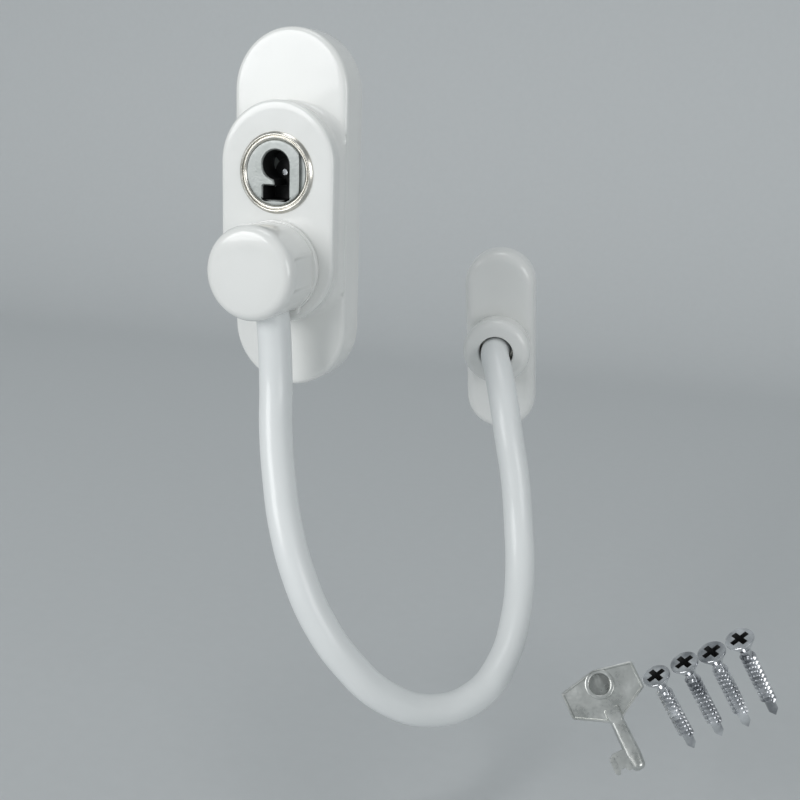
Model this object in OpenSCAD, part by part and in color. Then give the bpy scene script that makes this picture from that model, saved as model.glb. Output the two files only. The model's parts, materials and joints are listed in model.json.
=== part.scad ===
// Lockable cable restrictor for an opening window.
// The lock unit is screwed to the window frame, the anchor unit to the sash,
// and a sheathed steel cable joins them. The cable's knob pulls out of the lock
// once the key has drawn the bolt back.
// Frame: +X right, +Y into the window frame, +Z up. The origin is the centre of
// the lock unit's back face. Pieces are drawn flat, with local z out of the
// window frame, and then stood up.

/* [Lock cover plate] */
// Width of the cover plate
cover_w = 26; // [24:0.5:32]
// Height of the cover plate, end to end
cover_l = 75; // [70:0.5:92]
// Depth of the cover plate, back to front
cover_d = 7.6; // [7.2:0.1:9.5]
// Rounding of the cover plate's front edge
cover_edge = 1; // [0.4:0.1:1.2]
// Wall of the cover plate
cover_wall = 1.5; // [1:0.1:2]

/* [Lock housing] */
// How far each side of the housing's foot is set in from the cover plate's side
housing_inset = 1; // [0.8:0.1:1.4]
// How much each side leans out from foot to front
housing_flare = 0.9; // [0:0.1:1]
// Height of the housing at its front, end to end
housing_l = 45.8; // [44.8:0.1:55]
// Depth of the housing in front of the cover plate
housing_h = 6.2; // [6:0.1:7.6]
// Rounding of the housing's front edge
housing_edge = 0.8; // [0.3:0.1:1.2]
// Wall of the housing
housing_wall = 1.6; // [1.2:0.1:1.8]

/* [Base plate] */
// Thickness of the steel base plate
base_t = 2; // [1.6:0.1:2.4]
// Distance between the two mounting screws
screw_spacing = 59; // [55:0.5:60]
// Diameter of a mounting screw's hole
screw_hole_d = 4.4; // [4:0.1:5]
// Diameter of the countersink for a mounting screw's head
screw_sink_d = 8; // [7:0.1:8.6]

/* [Key cylinder] */
// Diameter of the turning plug
plug_d = 13.2; // [12.4:0.1:14]
// Wall of the sleeve round the plug
sleeve_wall = 0.9; // [0.8:0.1:1.2]
// How far the visible ring stands out round the sleeve
ring_rim = 0.8; // [0.4:0.1:1.2]
// How far the ring stands in front of the housing
ring_proud = 0.7; // [0.4:0.1:1]
// Gap between the ring and the knob's base disc
ring_gap = 1.2; // [0.6:0.1:1.6]
// Radius of the keyway's round top
keyway_r = 3; // [2.9:0.05:3.1]
// Depth of the keyway
keyway_depth = 5.8; // [5:0.1:6]

/* [Locking bolt] */
// Radius at which the cam's drive pin runs
crank_r = 2; // [1.8:0.05:2.2]
// Diameter of the cam's drive pin
drive_pin_d = 1.6; // [1.4:0.1:1.8]
// Width of the locking bolt
bolt_w = 8; // [7:0.1:8.4]
// Thickness of the bolt's nose
bolt_nose_t = 1.8; // [1.4:0.1:1.9]

/* [Knob] */
// Place of the knob's axis, below the plate's centre
knob_y = -11.2; // [-11.6:0.1:-11]
// Diameter of the knob
knob_d = 19.4; // [18.5:0.1:21]
// Height of the knob in front of its base disc
knob_h = 11.6; // [10.8:0.1:13]
// Rounding of the knob's front edge
knob_edge = 2.2; // [1:0.1:2.6]
// Wall of the knob's shell
knob_wall = 1.7; // [1.4:0.1:2]
// Diameter of the stud that locks the knob
stud_d = 6; // [5.6:0.1:6.4]
// Depth of the stud's locking groove
groove_depth = 1; // [0.8:0.1:1.2]

/* [Cable] */
// Diameter of the cable over its plastic sheath
cable_d = 7; // [6.8:0.1:7.2]
// Diameter of the steel wire rope in the sheath
core_d = 3.2; // [2.8:0.1:3.6]

/* [Anchor] */
// Width of the anchor's cover
anchor_w = 17.7; // [17:0.1:20]
// Height of the anchor's cover, end to end
anchor_l = 48.2; // [46:0.2:56]
// Depth of the anchor's cover, back to front
anchor_d = 5.4; // [5:0.1:6.4]
// Rounding of the anchor cover's front edge
anchor_edge = 2.1; // [1.2:0.1:2.4]
// Wall of the anchor's cover
anchor_wall = 1.4; // [1.1:0.1:1.6]
// Thickness of the anchor's base plate
anchor_base_t = 1.6; // [1.4:0.1:2]
// Distance between the anchor's two mounting screws
anchor_screw_spacing = 33; // [31:0.5:34]
// Diameter of the anchor's screw holes
anchor_hole_d = 4.3; // [4:0.1:4.6]
// Wall of the anchor's boss at its foot
boss_wall = 1.4; // [1.2:0.1:1.8]
// How much the boss widens from foot to front, on each side
boss_flare = 0.9; // [0:0.1:1]
// Height of the boss in front of the anchor's cover
boss_h = 7.1; // [6.8:0.1:8]

/* [Key and screws] */
// Width of the key's six-sided bow
bow_w = 16.5; // [15:0.5:22]
// Height of the key's bow
bow_h = 11; // [10:0.5:15]
// Thickness of the key's bow
bow_t = 1.8; // [1.4:0.1:2.4]
// Diameter of the hole in the bow
bow_hole_d = 4.5; // [4:0.5:6]
// Diameter of the key's shaft
key_shaft_d = 3; // [2.6:0.1:4]
// Length of the key's shaft below the bow
key_shaft_l = 11; // [10:0.5:17]
// Reach of the key's bit beside the shaft
key_bit_reach = 3.7; // [3:0.1:4.4]
// Length of a mounting screw
screw_l = 21; // [18:0.5:25]
// Diameter of a mounting screw over its thread
screw_d = 3.2; // [3:0.1:3.6]
// Diameter of a mounting screw's head
screw_head_d = 5.8; // [5.4:0.1:6.2]

/* [Hidden] */
$fn = 64;
eps = 0.01;          // overlap that joins two shapes of one solid
run_gap = 0.05;      // radial clearance of a turning or sliding fit
slip_gap = 0.1;      // clearance beside a flat moving piece
free_gap = 0.3;      // clearance round a piece that only has to pass
cut = 1;             // how far a cutting shape runs past a face

white = "white";
nickel = "silver";
zinc = "lightgrey";
steel = "grey";

// Outline of the housing, from the cover plate's
housing_foot_r = cover_w / 2 - housing_inset;
housing_r = housing_foot_r + housing_flare;

// Straight length between the round ends of each long outline
cover_run = cover_l - cover_w;
housing_run = housing_l - 2 * housing_r;
anchor_run = anchor_l - anchor_w;

// Inside of the covers
base_r = cover_w / 2 - cover_wall - free_gap;
housing_inner_r = housing_foot_r - housing_wall;
case_r = housing_inner_r - free_gap;
anchor_base_r = anchor_w / 2 - anchor_wall - free_gap;

// Levels of the lock unit, out of the window frame
housing_front = cover_d + housing_h;
case_front = housing_front - housing_wall - slip_gap;
bolt_z = base_t + slip_gap;
nose_z = 3.4;
nose_top = nose_z + bolt_nose_t;
channel_top = nose_top + slip_gap;
cam_z = channel_top + slip_gap;
cam_t = 1.2;
cam_top = cam_z + cam_t;
sleeve_z = 7.5;
sleeve_back_t = 1;
plug_back = sleeve_z + sleeve_back_t + slip_gap;
plug_front = housing_front + ring_proud - 0.2;
clip_t = 0.55;
clip_z = sleeve_z - slip_gap - clip_t;

// Screws that hold the case to the base plate
case_screw_d = 2.8;
case_screw_head_d = 4.8;
case_screw_head_h = 1;
case_screw_x = case_r - 3.1;
case_screw_y = -1;
case_screw_l = 6;

// Knob levels and the cable's place in it
knob_z = housing_front + slip_gap;
knob_base_t = 1.4;
knob_base_r = knob_d / 2 + 0.2;
shell_z = knob_z + knob_base_t;
knob_inner_r = knob_d / 2 - knob_wall;
eye_z = shell_z + slip_gap;
eye_t = 1.3;
eye_d = stud_d + 3.4;
stud_tip_z = base_t + slip_gap;
stud_tip_h = 0.5;
stud_head_z = eye_z + eye_t + slip_gap;
stud_head_t = 1.3;
stud_head_d = stud_d + 3;
groove_r = stud_d / 2 - groove_depth;
stud_clip_t = 0.6;
stud_clip_z = knob_z - slip_gap - stud_clip_t;
stud_clip_r = stud_d / 2 + 0.9;
clip_groove_depth = 0.5;
clip_mouth = 3;
knob_notch_r = cable_d / 2 + 0.4;
knob_screw_d = 1.6;
knob_screw_l = 6.5;
knob_post_d = 2.8;
knob_screw_x = 6;
knob_screw_dy = 3.4;

// Key cylinder, set above the knob by the room that both need
sleeve_d = plug_d + 2 * sleeve_wall;
ring_d = sleeve_d + 2 * ring_rim;
cylinder_y = knob_y + knob_base_r + ring_gap + ring_d / 2;
tail_r = 2.8;
tail_square = 3.6;
cam_r = 4.3;
cam_room_r = cam_r + 0.5;
keyway_top_y = 1.6;
keyway_foot_y = -5.5;
keyway_foot_h = 2.9;
post_r = 0.6;
post_sunk = 1.5;
post_proud = 1.3;

// Locking bolt: its lift is what the drive pin moves between its two ends
plug_turn = 90;
crank_start = plug_turn / 2;
bolt_travel = 2 * crank_r * sin(crank_start);
drive_y = cylinder_y + crank_r * sin(crank_start);
drive_pin_end = nose_z - 0.8;
drive_slot_w = drive_pin_d + 0.3;
drive_slot_x0 = crank_r * cos(crank_start) - drive_slot_w / 2;
drive_slot_x1 = crank_r + drive_slot_w / 2;
bolt_nose_w = 5;
nose_end_y = knob_y + groove_r + slip_gap + bolt_travel;
nose_root_y = nose_end_y + 3.2;
bolt_end_y = drive_y + drive_slot_w / 2 + 1.5;
channel_end_y = bolt_end_y + slip_gap;
spring_end_y = channel_end_y + 6;
spring_d = 2.8;
spring_wire = 0.45;
spring_turns = 6;

// Anchor levels, out of the sash
boss_front = anchor_d + boss_h;
boss_edge = 1.9;
ferrule_z = anchor_base_t + 0.6;
ferrule_floor = 1;
ferrule_flange_t = 1.5;
ferrule_d = cable_d + 0.8;
ferrule_flange_d = ferrule_d + 1.8;
socket_wall = 1.2;
socket_r = ferrule_flange_d / 2 + slip_gap + socket_wall;
socket_spigot_r = socket_r - 0.7;
boss_foot_r = socket_r + free_gap + boss_wall;
boss_r = boss_foot_r + boss_flare;
boss_hole_d = cable_d + 1.6;
sheath_start = 8.2;    // level in the anchor at which the sheath ends
socket_top = sheath_start - 3 * free_gap;
anchor_clip_t = 0.6;
anchor_clip_z = ferrule_z - slip_gap - anchor_clip_t;
anchor_hole_land = 0.6;
anchor_sink_d = anchor_hole_d + 2 * (anchor_base_t - anchor_hole_land);

// Place and lean of the anchor at the cable's far end
anchor_at = [30.5, 56.5, -34.5];
anchor_yaw = 8;
anchor_pitch = 10;
anchor_roll = -2;

// The cable's centreline, from the knob down, round and up to the anchor
cable_route = [
    [0, -18.5, -19.5], [0, -18.5, -21.75], [1.25, -18.25, -28], [2.5, -18.75, -35.5],
    [4, -21.5, -44.25], [6.5, -25, -52.75], [9.75, -28.5, -61.75], [13.75, -30.5, -71.25],
    [18.25, -30.5, -80.5], [23.75, -28, -89.75], [30.25, -22.5, -98.75], [37.75, -14.5, -104.25],
    [44.5, -5, -104.5], [48, 5, -100.25], [48.5, 14.5, -92.5], [47, 22, -83.5],
    [44.75, 27, -73.75], [42.75, 29.5, -63.75], [40, 31.5, -53.5], [37.5, 34.5, -45.75],
    [34.75, 39, -40.25], [32, 44.5, -36.5]
];
cable_z = -cable_route[0].y;    // level of the cable's axis at the knob
core_start = [0, -cable_z, -16.5];
cable_sides = 8;
// A level direction that stays across the cable all along its route
cable_across = [0.91, -0.41, 0];

// Barrel of the cable's eye, which ends just short of the sheath
barrel_start = stud_d / 2 + 1.9;
barrel_end = knob_y - cable_route[0].z - free_gap;
barrel_bore_r = core_d / 2 / cos(180 / cable_sides) + run_gap;
barrel_r = barrel_bore_r + 0.7;
eye_arm_w = 4.4;

// Places of the loose key and screws, and their smaller sizes
key_at = [73.5, -6, -97];
key_turn = [0, -31, 0];
key_lean = [-27, 0, 9];
key_bit_h = 4.3;
key_bit_t = 2;
key_tip_h = 0.8;
bow_side_top = bow_h / 2 - 1.6;
bow_side_foot = -bow_h / 2 + 3.6;
bow_shoulder = key_shaft_d / 2 + 0.2;
bow_hole_y = bow_h / 2 - bow_hole_d / 2 - 0.95;
screws_at = [[84.25, -11, -88], [89.5, -11, -84], [94.5, -11, -80.75], [99.5, -11, -77]];
screw_lean = [31, 0, -50];
screw_head_h = 2.6;
screw_head_rim = 0.4;
screw_thread_depth = 0.5;
screw_tip_l = 4;
screw_point_l = 1.4;

// --- placing -----------------------------------------------------------------

module on_frame() {
    rotate([90, 0, 0]) children();
}

module on_anchor() {
    translate(anchor_at)
        rotate([0, 0, anchor_yaw]) rotate([anchor_pitch, 0, 0]) rotate([0, anchor_roll, 0])
            rotate([90, 0, 0]) children();
}

function turn_z(p, a) = [p.x * cos(a) - p.y * sin(a), p.x * sin(a) + p.y * cos(a), p.z];
function turn_x(p, a) = [p.x, p.y * cos(a) - p.z * sin(a), p.y * sin(a) + p.z * cos(a)];
function turn_y(p, a) = [p.x * cos(a) + p.z * sin(a), p.y, -p.x * sin(a) + p.z * cos(a)];

// A point on the anchor's axis, z out of the sash, in the shared frame
function anchor_point(z) =
    anchor_at + turn_z(turn_x(turn_y([0, -z, 0], anchor_roll), anchor_pitch), anchor_yaw);

// --- shapes ------------------------------------------------------------------

// Half of a raised outline: a side that may lean, with a rounded front edge
module half_profile(r_foot, r_front, h, edge) {
    polygon([[0, 0], [r_foot, 0], [r_front, h - edge], [r_front - edge, h], [0, h]]);
    translate([r_front - edge, h - edge]) circle(edge);
}

// Solid with two round ends, long in y
module long_solid(r_foot, r_front, run, h, edge) {
    for (side = [-1, 1])
        translate([0, side * run / 2, 0])
            rotate_extrude() half_profile(r_foot, r_front, h, edge);
    rotate([90, 0, 0])
        linear_extrude(run, center = true) {
            half_profile(r_foot, r_front, h, edge);
            mirror([1, 0]) half_profile(r_foot, r_front, h, edge);
        }
}

// The same outline with straight sides and sharp edges
module long_block(r, run, h) {
    for (side = [-1, 1])
        translate([0, side * run / 2, 0]) cylinder(r = r, h = h);
    translate([-r, -run / 2, 0]) cube([2 * r, run, h]);
}

module tube(r_out, r_in, h) {
    difference() {
        cylinder(r = r_out, h = h);
        translate([0, 0, -cut]) cylinder(r = r_in, h = h + 2 * cut);
    }
}

// Countersunk hole through a plate that lies on z = 0, wide at its front
module sunk_hole(d, sink_d, t) {
    sink_h = (sink_d - d) / 2;
    translate([0, 0, -cut]) cylinder(d = d, h = t + 2 * cut);
    translate([0, 0, t - sink_h]) cylinder(d1 = d, d2 = sink_d, h = sink_h);
    translate([0, 0, t - eps]) cylinder(d = sink_d, h = cut);
}

// Coil spring along +y, from y0 to y1, as rings joined by two thin rods
module ring_spring(d, wire, y0, y1, turns) {
    pitch = (y1 - y0 - wire) / (turns - 1);
    mean_r = (d - wire) / 2;
    rod_d = 0.7 * wire;
    rotate([-90, 0, 0])
        for (i = [0:turns - 1])
            translate([0, 0, y0 + wire / 2 + i * pitch])
                rotate_extrude() translate([mean_r, 0]) circle(d = wire);
    for (side = [-1, 1])
        translate([side * mean_r, y0 + wire / 2, 0])
            rotate([-90, 0, 0]) cylinder(d = rod_d, h = y1 - y0 - wire);
}

// Open retaining clip
module clip(r_out, r_in, t, gap) {
    difference() {
        tube(r_out, r_in, t);
        translate([-gap / 2, 0, -cut]) cube([gap, r_out + cut, t + 2 * cut]);
    }
}

// --- cable sweep -------------------------------------------------------------

function unit(v) = v / norm(v);

function route_way(route, i) =
    unit(route[min(i + 1, len(route) - 1)] - route[max(i - 1, 0)]);

function ring_at(point, way, r) =
    let (side = unit(cable_across - (cable_across * way) * way), up = cross(way, side))
    [for (k = [0:cable_sides - 1])
        let (a = 360 * (k + 0.5) / cable_sides)
        point + r / cos(180 / cable_sides) * (cos(a) * side + sin(a) * up)];

function rings_along(route, r) =
    [for (i = [0:len(route) - 1]) each ring_at(route[i], route_way(route, i), r)];

// Wall faces of a tube whose rings start at point number "first"
function wall_faces(first, rings, outward) =
    [for (i = [0:rings - 2], k = [0:cable_sides - 1])
        let (a = first + i * cable_sides, b = a + cable_sides, n = (k + 1) % cable_sides)
        outward ? [a + k, b + k, b + n, a + n] : [a + k, a + n, b + n, b + k]];

function end_faces(outer, inner, outward) =
    [for (k = [0:cable_sides - 1])
        let (n = (k + 1) % cable_sides)
        outward ? [outer + k, inner + k, inner + n, outer + n]
                : [outer + k, outer + n, inner + n, inner + k]];

module swept_rod(route, r) {
    rings = len(route);
    last = (rings - 1) * cable_sides;
    polyhedron(
        points = rings_along(route, r),
        faces = concat(
            wall_faces(0, rings, true),
            [[for (k = [0:cable_sides - 1]) k],
             [for (k = [cable_sides - 1:-1:0]) last + k]]));
}

module swept_tube(route, r_out, r_in) {
    rings = len(route);
    inner = rings * cable_sides;
    last = (rings - 1) * cable_sides;
    polyhedron(
        points = concat(rings_along(route, r_out), rings_along(route, r_in)),
        faces = concat(
            wall_faces(0, rings, true),
            wall_faces(inner, rings, false),
            end_faces(0, inner, false),
            end_faces(last, inner + last, true)));
}

sheath_route = concat(cable_route, [anchor_point(sheath_start)]);
core_route = concat([core_start], sheath_route, [anchor_point(ferrule_z + ferrule_floor + 0.2)]);

// --- lock unit ---------------------------------------------------------------

module base_plate() color(steel) on_frame()
    difference() {
        long_block(base_r, cover_run, base_t);
        for (side = [-1, 1]) {
            translate([0, side * screw_spacing / 2, 0])
                sunk_hole(screw_hole_d, screw_sink_d, base_t);
            translate([side * case_screw_x, case_screw_y, base_t])
                mirror([0, 0, 1])
                    sunk_hole(case_screw_d + 4 * slip_gap, case_screw_head_d + 2 * slip_gap, base_t);
        }
    }

module cover_plate() color(white) on_frame()
    difference() {
        long_solid(cover_w / 2, cover_w / 2, cover_run, cover_d, cover_edge);
        translate([0, 0, -cut])
            long_block(cover_w / 2 - cover_wall, cover_run, cover_d - cover_wall + cut);
        long_block(housing_inner_r, housing_run, cover_d + cut);
    }

module housing() color(white) on_frame()
    difference() {
        translate([0, 0, cover_d])
            long_solid(housing_foot_r, housing_r, housing_run, housing_h, housing_edge);
        translate([0, 0, cover_d - cut])
            long_block(housing_inner_r, housing_run, housing_h - housing_wall + cut);
        translate([0, cylinder_y, 0]) cylinder(d = sleeve_d + 4 * slip_gap, h = housing_front + cut);
        translate([0, knob_y, 0]) cylinder(r = stud_clip_r + free_gap, h = housing_front + cut);
    }

module lock_case() color(zinc) on_frame()
    difference() {
        translate([0, 0, base_t]) long_block(case_r, housing_run, case_front - base_t);
        // sleeve's bore, and the cam's room behind it
        translate([0, cylinder_y, sleeve_z]) cylinder(d = sleeve_d + 2 * run_gap, h = case_front);
        translate([0, cylinder_y, channel_top - eps])
            cylinder(r = cam_room_r, h = sleeve_z - channel_top + 2 * eps);
        // stud's bore
        translate([0, knob_y, base_t - cut]) cylinder(d = stud_d + 2 * run_gap, h = case_front);
        // locking bolt's channel, and the spring's narrower one
        translate([-bolt_w / 2 - slip_gap, knob_y, base_t - cut])
            cube([bolt_w + 2 * slip_gap, channel_end_y - knob_y, channel_top - base_t + cut]);
        translate([-spring_d / 2 - free_gap, channel_end_y - eps, base_t - cut])
            cube([spring_d + 2 * free_gap, spring_end_y - channel_end_y + eps,
                  channel_top - base_t + cut]);
        for (side = [-1, 1])
            translate([side * case_screw_x, case_screw_y, base_t - cut])
                cylinder(d = case_screw_d, h = case_screw_l + cut);
    }

module case_screws() color(steel) on_frame()
    for (side = [-1, 1])
        translate([side * case_screw_x, case_screw_y, 0]) {
            cylinder(d1 = case_screw_head_d, d2 = case_screw_d, h = case_screw_head_h);
            translate([0, 0, case_screw_head_h - eps])
                cylinder(d = case_screw_d, h = base_t + case_screw_l - 1.5 * case_screw_head_h);
        }

module cylinder_sleeve() color(nickel) on_frame() translate([0, cylinder_y, 0])
    difference() {
        union() {
            translate([0, 0, sleeve_z]) cylinder(d = sleeve_d, h = housing_front - sleeve_z + eps);
            translate([0, 0, housing_front])
                cylinder(r1 = ring_d / 2, r2 = ring_d / 2 - ring_proud, h = ring_proud);
        }
        translate([0, 0, sleeve_z + sleeve_back_t])
            cylinder(d = plug_d + 2 * run_gap, h = housing_front);
        cylinder(r = tail_r + run_gap, h = housing_front);
    }

// Outline of the keyway: a round top, a straight right side, and a square foot to the left
module keyway_outline() {
    foot_w = 2 * keyway_r - slip_gap;
    translate([0, keyway_top_y]) circle(keyway_r);
    translate([0, keyway_foot_y]) square([keyway_r, keyway_top_y - keyway_foot_y]);
    translate([keyway_r - foot_w, keyway_foot_y]) square([foot_w, keyway_foot_h]);
}

module plug() color(nickel) on_frame() translate([0, cylinder_y, 0])
    difference() {
        union() {
            translate([0, 0, plug_back]) cylinder(d = plug_d, h = plug_front - plug_back);
            translate([0, 0, cam_top]) cylinder(r = tail_r, h = plug_back - cam_top + eps);
            translate([-tail_square / 2, -tail_square / 2, cam_z + eps])
                cube([tail_square, tail_square, cam_t]);
        }
        translate([0, 0, plug_front - keyway_depth])
            linear_extrude(keyway_depth + cut) keyway_outline();
        translate([0, 0, clip_z]) tube(tail_r + cut, tail_r - clip_groove_depth, clip_t);
        translate([0, 0, plug_front - keyway_depth - post_sunk])
            cylinder(r = post_r, h = post_sunk + eps);
    }

module centre_post() color(steel) on_frame()
    translate([0, cylinder_y, plug_front - keyway_depth - post_sunk])
        cylinder(r = post_r, h = post_sunk + post_proud);

module cam() color(steel) on_frame() translate([0, cylinder_y, 0]) {
    difference() {
        translate([0, 0, cam_z]) cylinder(r = cam_r, h = cam_t);
        translate([-tail_square / 2, -tail_square / 2, cam_z - cut])
            cube([tail_square, tail_square, cam_t + 2 * cut]);
    }
    rotate([0, 0, crank_start])
        translate([crank_r, 0, drive_pin_end])
            cylinder(d = drive_pin_d, h = cam_z - drive_pin_end + eps);
}

module plug_clip() color(steel) on_frame()
    translate([0, cylinder_y, clip_z])
        clip(cam_r, tail_r - clip_groove_depth, clip_t, clip_mouth);

module locking_bolt() color(steel) on_frame()
    difference() {
        union() {
            translate([-bolt_w / 2, nose_root_y, bolt_z])
                cube([bolt_w, bolt_end_y - nose_root_y, nose_top - bolt_z]);
            translate([-bolt_nose_w / 2, nose_end_y, nose_z])
                cube([bolt_nose_w, nose_root_y - nose_end_y + eps, bolt_nose_t]);
        }
        // cross slot for the cam's drive pin
        translate([drive_slot_x0, drive_y - drive_slot_w / 2, nose_z - cut])
            cube([drive_slot_x1 - drive_slot_x0, drive_slot_w, bolt_nose_t + 2 * cut]);
    }

module bolt_spring() color(steel) on_frame()
    translate([0, 0, base_t + slip_gap + spring_d / 2])
        ring_spring(spring_d, spring_wire, bolt_end_y, spring_end_y, spring_turns);

// --- knob --------------------------------------------------------------------

module stud() color(nickel) on_frame() translate([0, knob_y, 0])
    difference() {
        union() {
            translate([0, 0, stud_tip_z])
                cylinder(d1 = stud_d - 2 * stud_tip_h, d2 = stud_d, h = stud_tip_h);
            translate([0, 0, stud_tip_z + stud_tip_h])
                cylinder(d = stud_d, h = stud_head_z - stud_tip_z - stud_tip_h + eps);
            translate([0, 0, stud_head_z]) cylinder(d = stud_head_d, h = stud_head_t);
        }
        translate([0, 0, nose_z - slip_gap])
            tube(stud_d, groove_r, bolt_nose_t + 2 * slip_gap);
        translate([0, 0, stud_clip_z])
            tube(stud_d, stud_d / 2 - clip_groove_depth, stud_clip_t);
    }

module stud_clip() color(steel) on_frame()
    translate([0, knob_y, stud_clip_z])
        clip(stud_clip_r, stud_d / 2 - clip_groove_depth, stud_clip_t, clip_mouth);

// Room for the cable where it passes out of the knob's lower side
module cable_notch() {
    translate([0, 0, cable_z]) rotate([90, 0, 0]) cylinder(r = knob_notch_r, h = knob_d);
    translate([-knob_notch_r, -knob_d, knob_z - cut])
        cube([2 * knob_notch_r, knob_d, cable_z - knob_z + cut]);
}

module at_knob_screws() {
    for (side = [-1, 1])
        translate([side * knob_screw_x, knob_screw_dy, 0]) children();
}

module knob_base() color(white) on_frame() translate([0, knob_y, 0])
    difference() {
        translate([0, 0, knob_z]) cylinder(r = knob_base_r, h = knob_base_t);
        cylinder(d = stud_d + 2 * run_gap, h = shell_z + cut);
        translate([0, -knob_inner_r, 0]) cable_notch();
        translate([0, 0, knob_z - cut])
            at_knob_screws() cylinder(d = knob_screw_d + free_gap, h = knob_base_t + 2 * cut);
    }

module knob_shell() color(white) on_frame() translate([0, knob_y, 0])
    difference() {
        union() {
            difference() {
                translate([0, 0, shell_z])
                    rotate_extrude() half_profile(knob_d / 2, knob_d / 2, knob_h, knob_edge);
                translate([0, 0, shell_z - cut])
                    cylinder(r = knob_inner_r, h = knob_h - knob_wall + cut);
            }
            translate([0, 0, shell_z])
                at_knob_screws() cylinder(d = knob_post_d, h = knob_h - knob_wall + eps);
        }
        translate([0, knob_wall - knob_inner_r, 0]) cable_notch();
        translate([0, 0, shell_z - cut])
            at_knob_screws() cylinder(d = knob_screw_d, h = knob_screw_l + cut);
    }

module knob_screws() color(steel) on_frame() translate([0, knob_y, knob_z])
    at_knob_screws() cylinder(d = knob_screw_d, h = knob_screw_l);

module cable_eye() color(nickel) on_frame() translate([0, knob_y, 0])
    difference() {
        union() {
            translate([0, 0, eye_z]) cylinder(d = eye_d, h = eye_t);
            translate([-eye_arm_w / 2, -barrel_end, eye_z])
                cube([eye_arm_w, barrel_end - eye_d / 2 + 1.2, eye_t]);
            translate([0, -barrel_start, cable_z])
                rotate([90, 0, 0]) cylinder(r = barrel_r, h = barrel_end - barrel_start);
        }
        cylinder(d = stud_d + 2 * run_gap, h = stud_head_z);
        translate([0, 0, eye_z + eye_t]) cylinder(d = eye_d, h = knob_h);
        translate([0, -barrel_start, cable_z])
            rotate([90, 0, 0]) cylinder(r = barrel_bore_r, h = barrel_end);
    }

// --- cable -------------------------------------------------------------------

module cable_core() color(nickel) swept_rod(core_route, core_d / 2);

module cable_sheath() color(white) swept_tube(sheath_route, cable_d / 2, core_d / 2);

module end_ferrule() color(nickel) on_anchor()
    difference() {
        union() {
            translate([0, 0, ferrule_z]) cylinder(d = ferrule_flange_d, h = ferrule_flange_t);
            translate([0, 0, ferrule_z]) cylinder(d = ferrule_d, h = socket_top - ferrule_z);
        }
        translate([0, 0, ferrule_z + ferrule_floor])
            cylinder(r = core_d / 2 + free_gap + run_gap, h = sheath_start);
    }

// --- anchor unit -------------------------------------------------------------

module anchor_base() color(steel) on_anchor()
    difference() {
        long_block(anchor_base_r, anchor_run, anchor_base_t);
        for (side = [-1, 1])
            translate([0, side * anchor_screw_spacing / 2, 0])
                sunk_hole(anchor_hole_d, anchor_sink_d, anchor_base_t);
        translate([0, 0, -cut]) cylinder(r = socket_spigot_r, h = anchor_base_t + 2 * cut);
    }

module anchor_socket() color(nickel) on_anchor()
    difference() {
        union() {
            cylinder(r = socket_spigot_r - 2 * eps, h = anchor_base_t);
            translate([0, 0, anchor_base_t]) cylinder(r = socket_r, h = socket_top - anchor_base_t);
        }
        translate([0, 0, -cut])
            cylinder(r = ferrule_flange_d / 2 + slip_gap,
                     h = ferrule_z + ferrule_flange_t + slip_gap + cut);
        cylinder(d = ferrule_d + 2 * run_gap, h = sheath_start);
    }

module anchor_clip() color(steel) on_anchor()
    translate([0, 0, anchor_clip_z])
        clip(ferrule_flange_d / 2 + run_gap, ferrule_flange_d / 3, anchor_clip_t, clip_mouth - cut);

module anchor_cover() color(white) on_anchor()
    difference() {
        union() {
            long_solid(anchor_w / 2, anchor_w / 2, anchor_run, anchor_d, anchor_edge);
            translate([0, 0, anchor_d - cut])
                rotate_extrude() half_profile(boss_foot_r, boss_r, boss_h + cut, boss_edge);
        }
        translate([0, 0, -cut])
            long_solid(anchor_w / 2 - anchor_wall, anchor_w / 2 - anchor_wall, anchor_run,
                       anchor_d - anchor_wall + cut, anchor_edge / 2);
        cylinder(r = socket_r + free_gap, h = boss_front - boss_edge - free_gap);
        cylinder(d = boss_hole_d, h = boss_front + cut);
    }

// --- key and screws ----------------------------------------------------------

// Six-sided bow, a little lopsided, as it is cast
module bow_outline() {
    polygon([[-bow_w / 2, bow_side_top], [0, bow_h / 2], [bow_w / 2, bow_side_top],
             [bow_w / 2, bow_side_foot], [bow_shoulder, -bow_h / 2],
             [-bow_shoulder, -bow_h / 2], [-bow_w / 2, bow_side_foot]]);
}

module key() color(zinc) translate(key_at) rotate(key_lean) rotate(key_turn) on_frame() {
    tip_y = -bow_h / 2 - key_shaft_l;
    root_y = -bow_h / 2 + bow_t;
    difference() {
        translate([0, 0, -bow_t / 2]) linear_extrude(bow_t) bow_outline();
        translate([0, bow_hole_y, -bow_t]) cylinder(d = bow_hole_d, h = 2 * bow_t);
    }
    translate([0, root_y, 0])
        rotate([90, 0, 0]) cylinder(d = key_shaft_d, h = root_y - tip_y);
    translate([-key_shaft_d / 2 - key_bit_reach, tip_y + key_tip_h, -key_bit_t / 2])
        cube([key_bit_reach + cut, key_bit_h, key_bit_t]);
}

module one_screw() {
    root_r = screw_d / 2 - screw_thread_depth;
    rotate_extrude()
        polygon([[0, 0], [screw_head_d / 2, 0], [screw_head_d / 2, -screw_head_rim],
                 [screw_d / 2, -screw_head_h], [screw_d / 2, -screw_l + screw_tip_l],
                 [root_r, -screw_l + screw_tip_l - screw_thread_depth],
                 [root_r, -screw_l + screw_point_l], [0, -screw_l]]);
}

module mounting_screws() color(nickel)
    for (place = screws_at) translate(place) rotate(screw_lean) one_screw();

base_plate();
cover_plate();
housing();
lock_case();
case_screws();
cylinder_sleeve();
plug();
centre_post();
cam();
plug_clip();
locking_bolt();
bolt_spring();
stud();
stud_clip();
knob_base();
knob_shell();
knob_screws();
cable_eye();
cable_core();
cable_sheath();
end_ferrule();
anchor_base();
anchor_socket();
anchor_clip();
anchor_cover();
key();
mounting_screws();
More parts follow.
